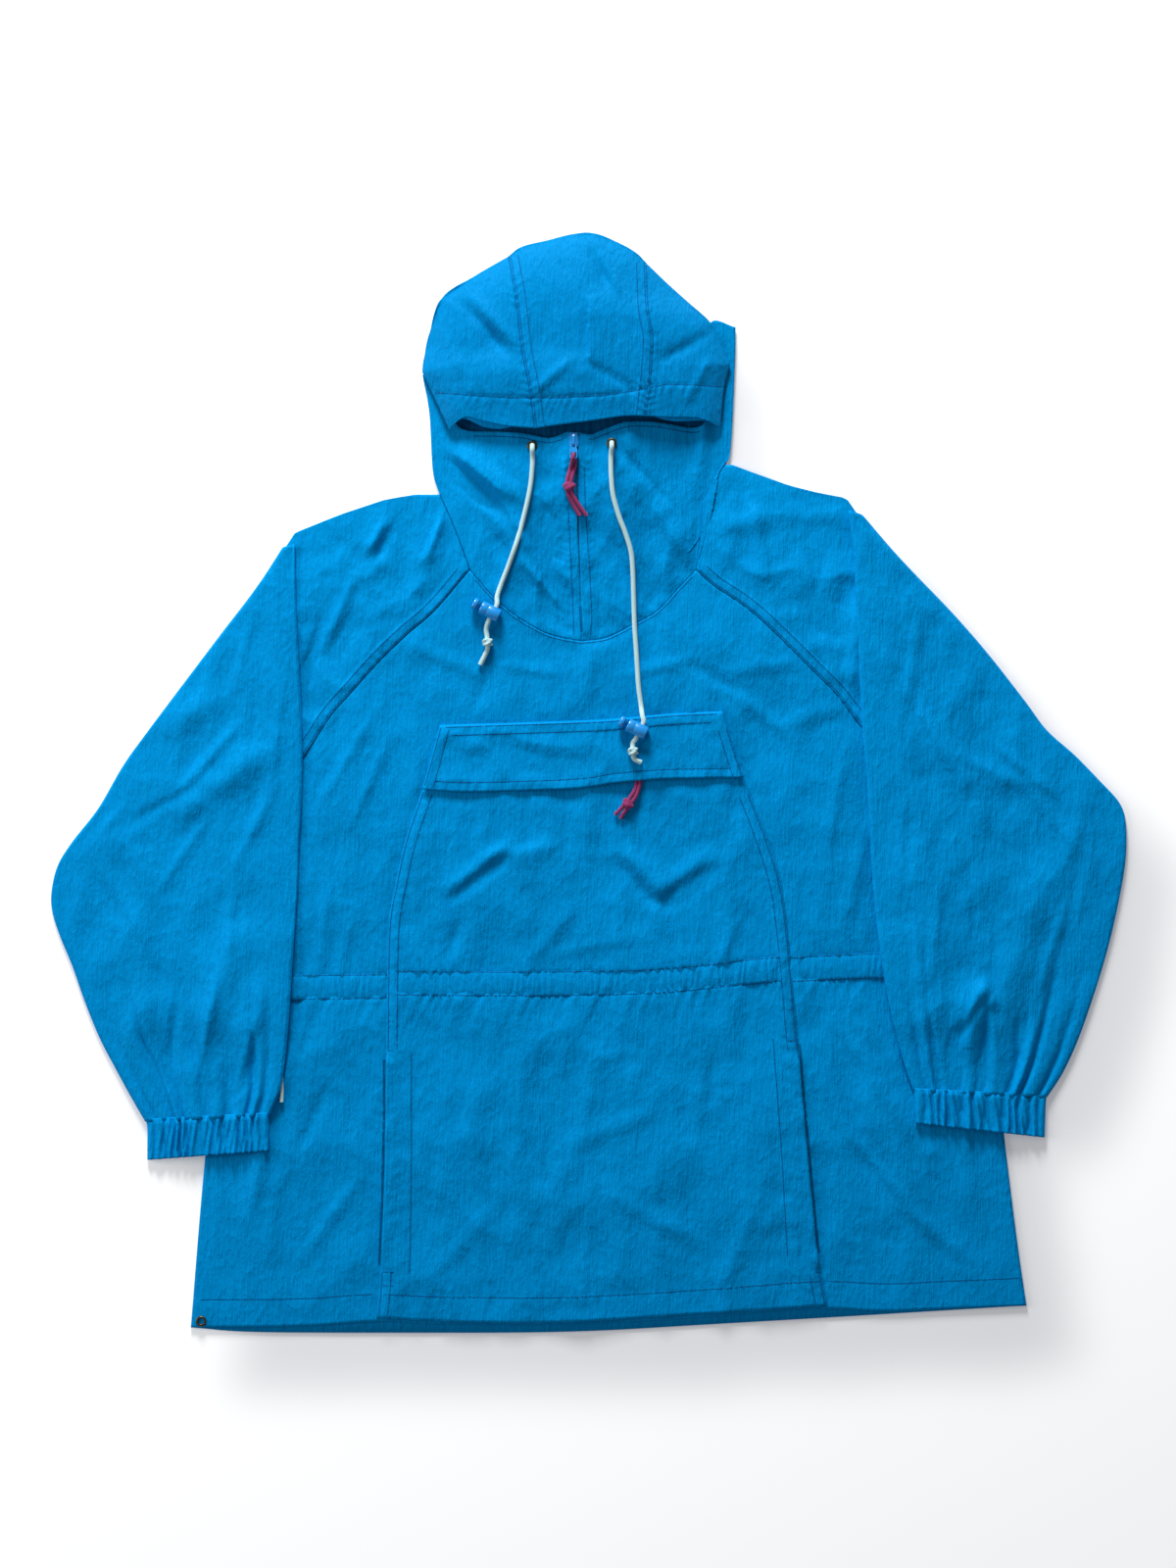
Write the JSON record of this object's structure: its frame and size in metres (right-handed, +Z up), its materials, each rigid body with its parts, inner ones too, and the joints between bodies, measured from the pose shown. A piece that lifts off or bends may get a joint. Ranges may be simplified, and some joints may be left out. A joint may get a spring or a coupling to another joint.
{
  "type": "hooded anorak pullover",
  "caption": "Light blue nylon anorak laid flat, hood up, with a short neck zip, drawcords with locks, raglan sleeves folded down, gathered cuffs and a flapped front pocket.",
  "frame": {"origin": "middle of the garment's outline as laid, on the surface it lies on", "axes": "+Y towards the top of the hood, +X towards the sleeve at the viewer's right, +Z up"},
  "size_m": [0.9311, 0.954, 0.0278],
  "materials": {
    "blue_nylon": "crinkled nylon",
    "dark_blue_nylon": "nylon in shadow",
    "blue_plastic": "gloss",
    "magenta_cord": "braided",
    "pale_cord": "braided",
    "aged_brass": "antique"
  },
  "bodies": {
    "garment": {"front_panel": "blue_nylon", "back_panel": "blue_nylon", "sleeve_left": "blue_nylon", "sleeve_right": "blue_nylon", "shoulder_left": "blue_nylon", "shoulder_right": "blue_nylon", "cuff_left": "blue_nylon", "cuff_right": "blue_nylon", "hood_back": "dark_blue_nylon", "hood_gusset": "blue_nylon", "hood_side_left": "blue_nylon", "hood_side_right": "blue_nylon", "collar_left": "blue_nylon", "collar_right": "blue_nylon", "pocket_panel": "blue_nylon", "pocket_flap": "blue_nylon", "pocket_zip": "dark_blue_nylon", "waist_casing_left": "blue_nylon", "waist_casing_centre": "blue_nylon", "waist_casing_right": "blue_nylon", "neck_zip": "dark_blue_nylon", "zip_slider": "blue_plastic", "pocket_slider": "blue_plastic", "pocket_pull": "magenta_cord", "pocket_pull_knot": "magenta_cord", "eyelet_left": "aged_brass", "eyelet_right": "aged_brass", "eyelet_hem": "aged_brass", "drawcord_left": "pale_cord", "drawcord_right": "pale_cord", "cord_lock_left": "blue_plastic", "cord_lock_right": "blue_plastic", "cord_knot_left": "pale_cord", "cord_knot_right": "pale_cord", "waist_cord": "pale_cord"},
    "tab": {"zip_tab": "blue_plastic", "zip_pull": "magenta_cord", "zip_pull_knot": "magenta_cord"},
    "button_left": {"lock_button_left": "blue_plastic"},
    "button_right": {"lock_button_right": "blue_plastic"}
  },
  "joints": [
    {"name": "zip_tab_swing", "type": "hinge", "parent": "garment", "child": "tab", "pos_m": [-0.013, 0.2938, 0.01878], "axis": [-1, 0, 0], "range_deg": [0, 100]},
    {"name": "lock_press_left", "type": "slide", "parent": "garment", "child": "button_left", "axis": [0.891, -0.454, 0], "range_m": [0, 0.003], "stiffness_N_per_m": 300},
    {"name": "lock_press_right", "type": "slide", "parent": "garment", "child": "button_right", "axis": [0.9063, -0.4226, 0], "range_m": [0, 0.003], "stiffness_N_per_m": 300}
  ]
}
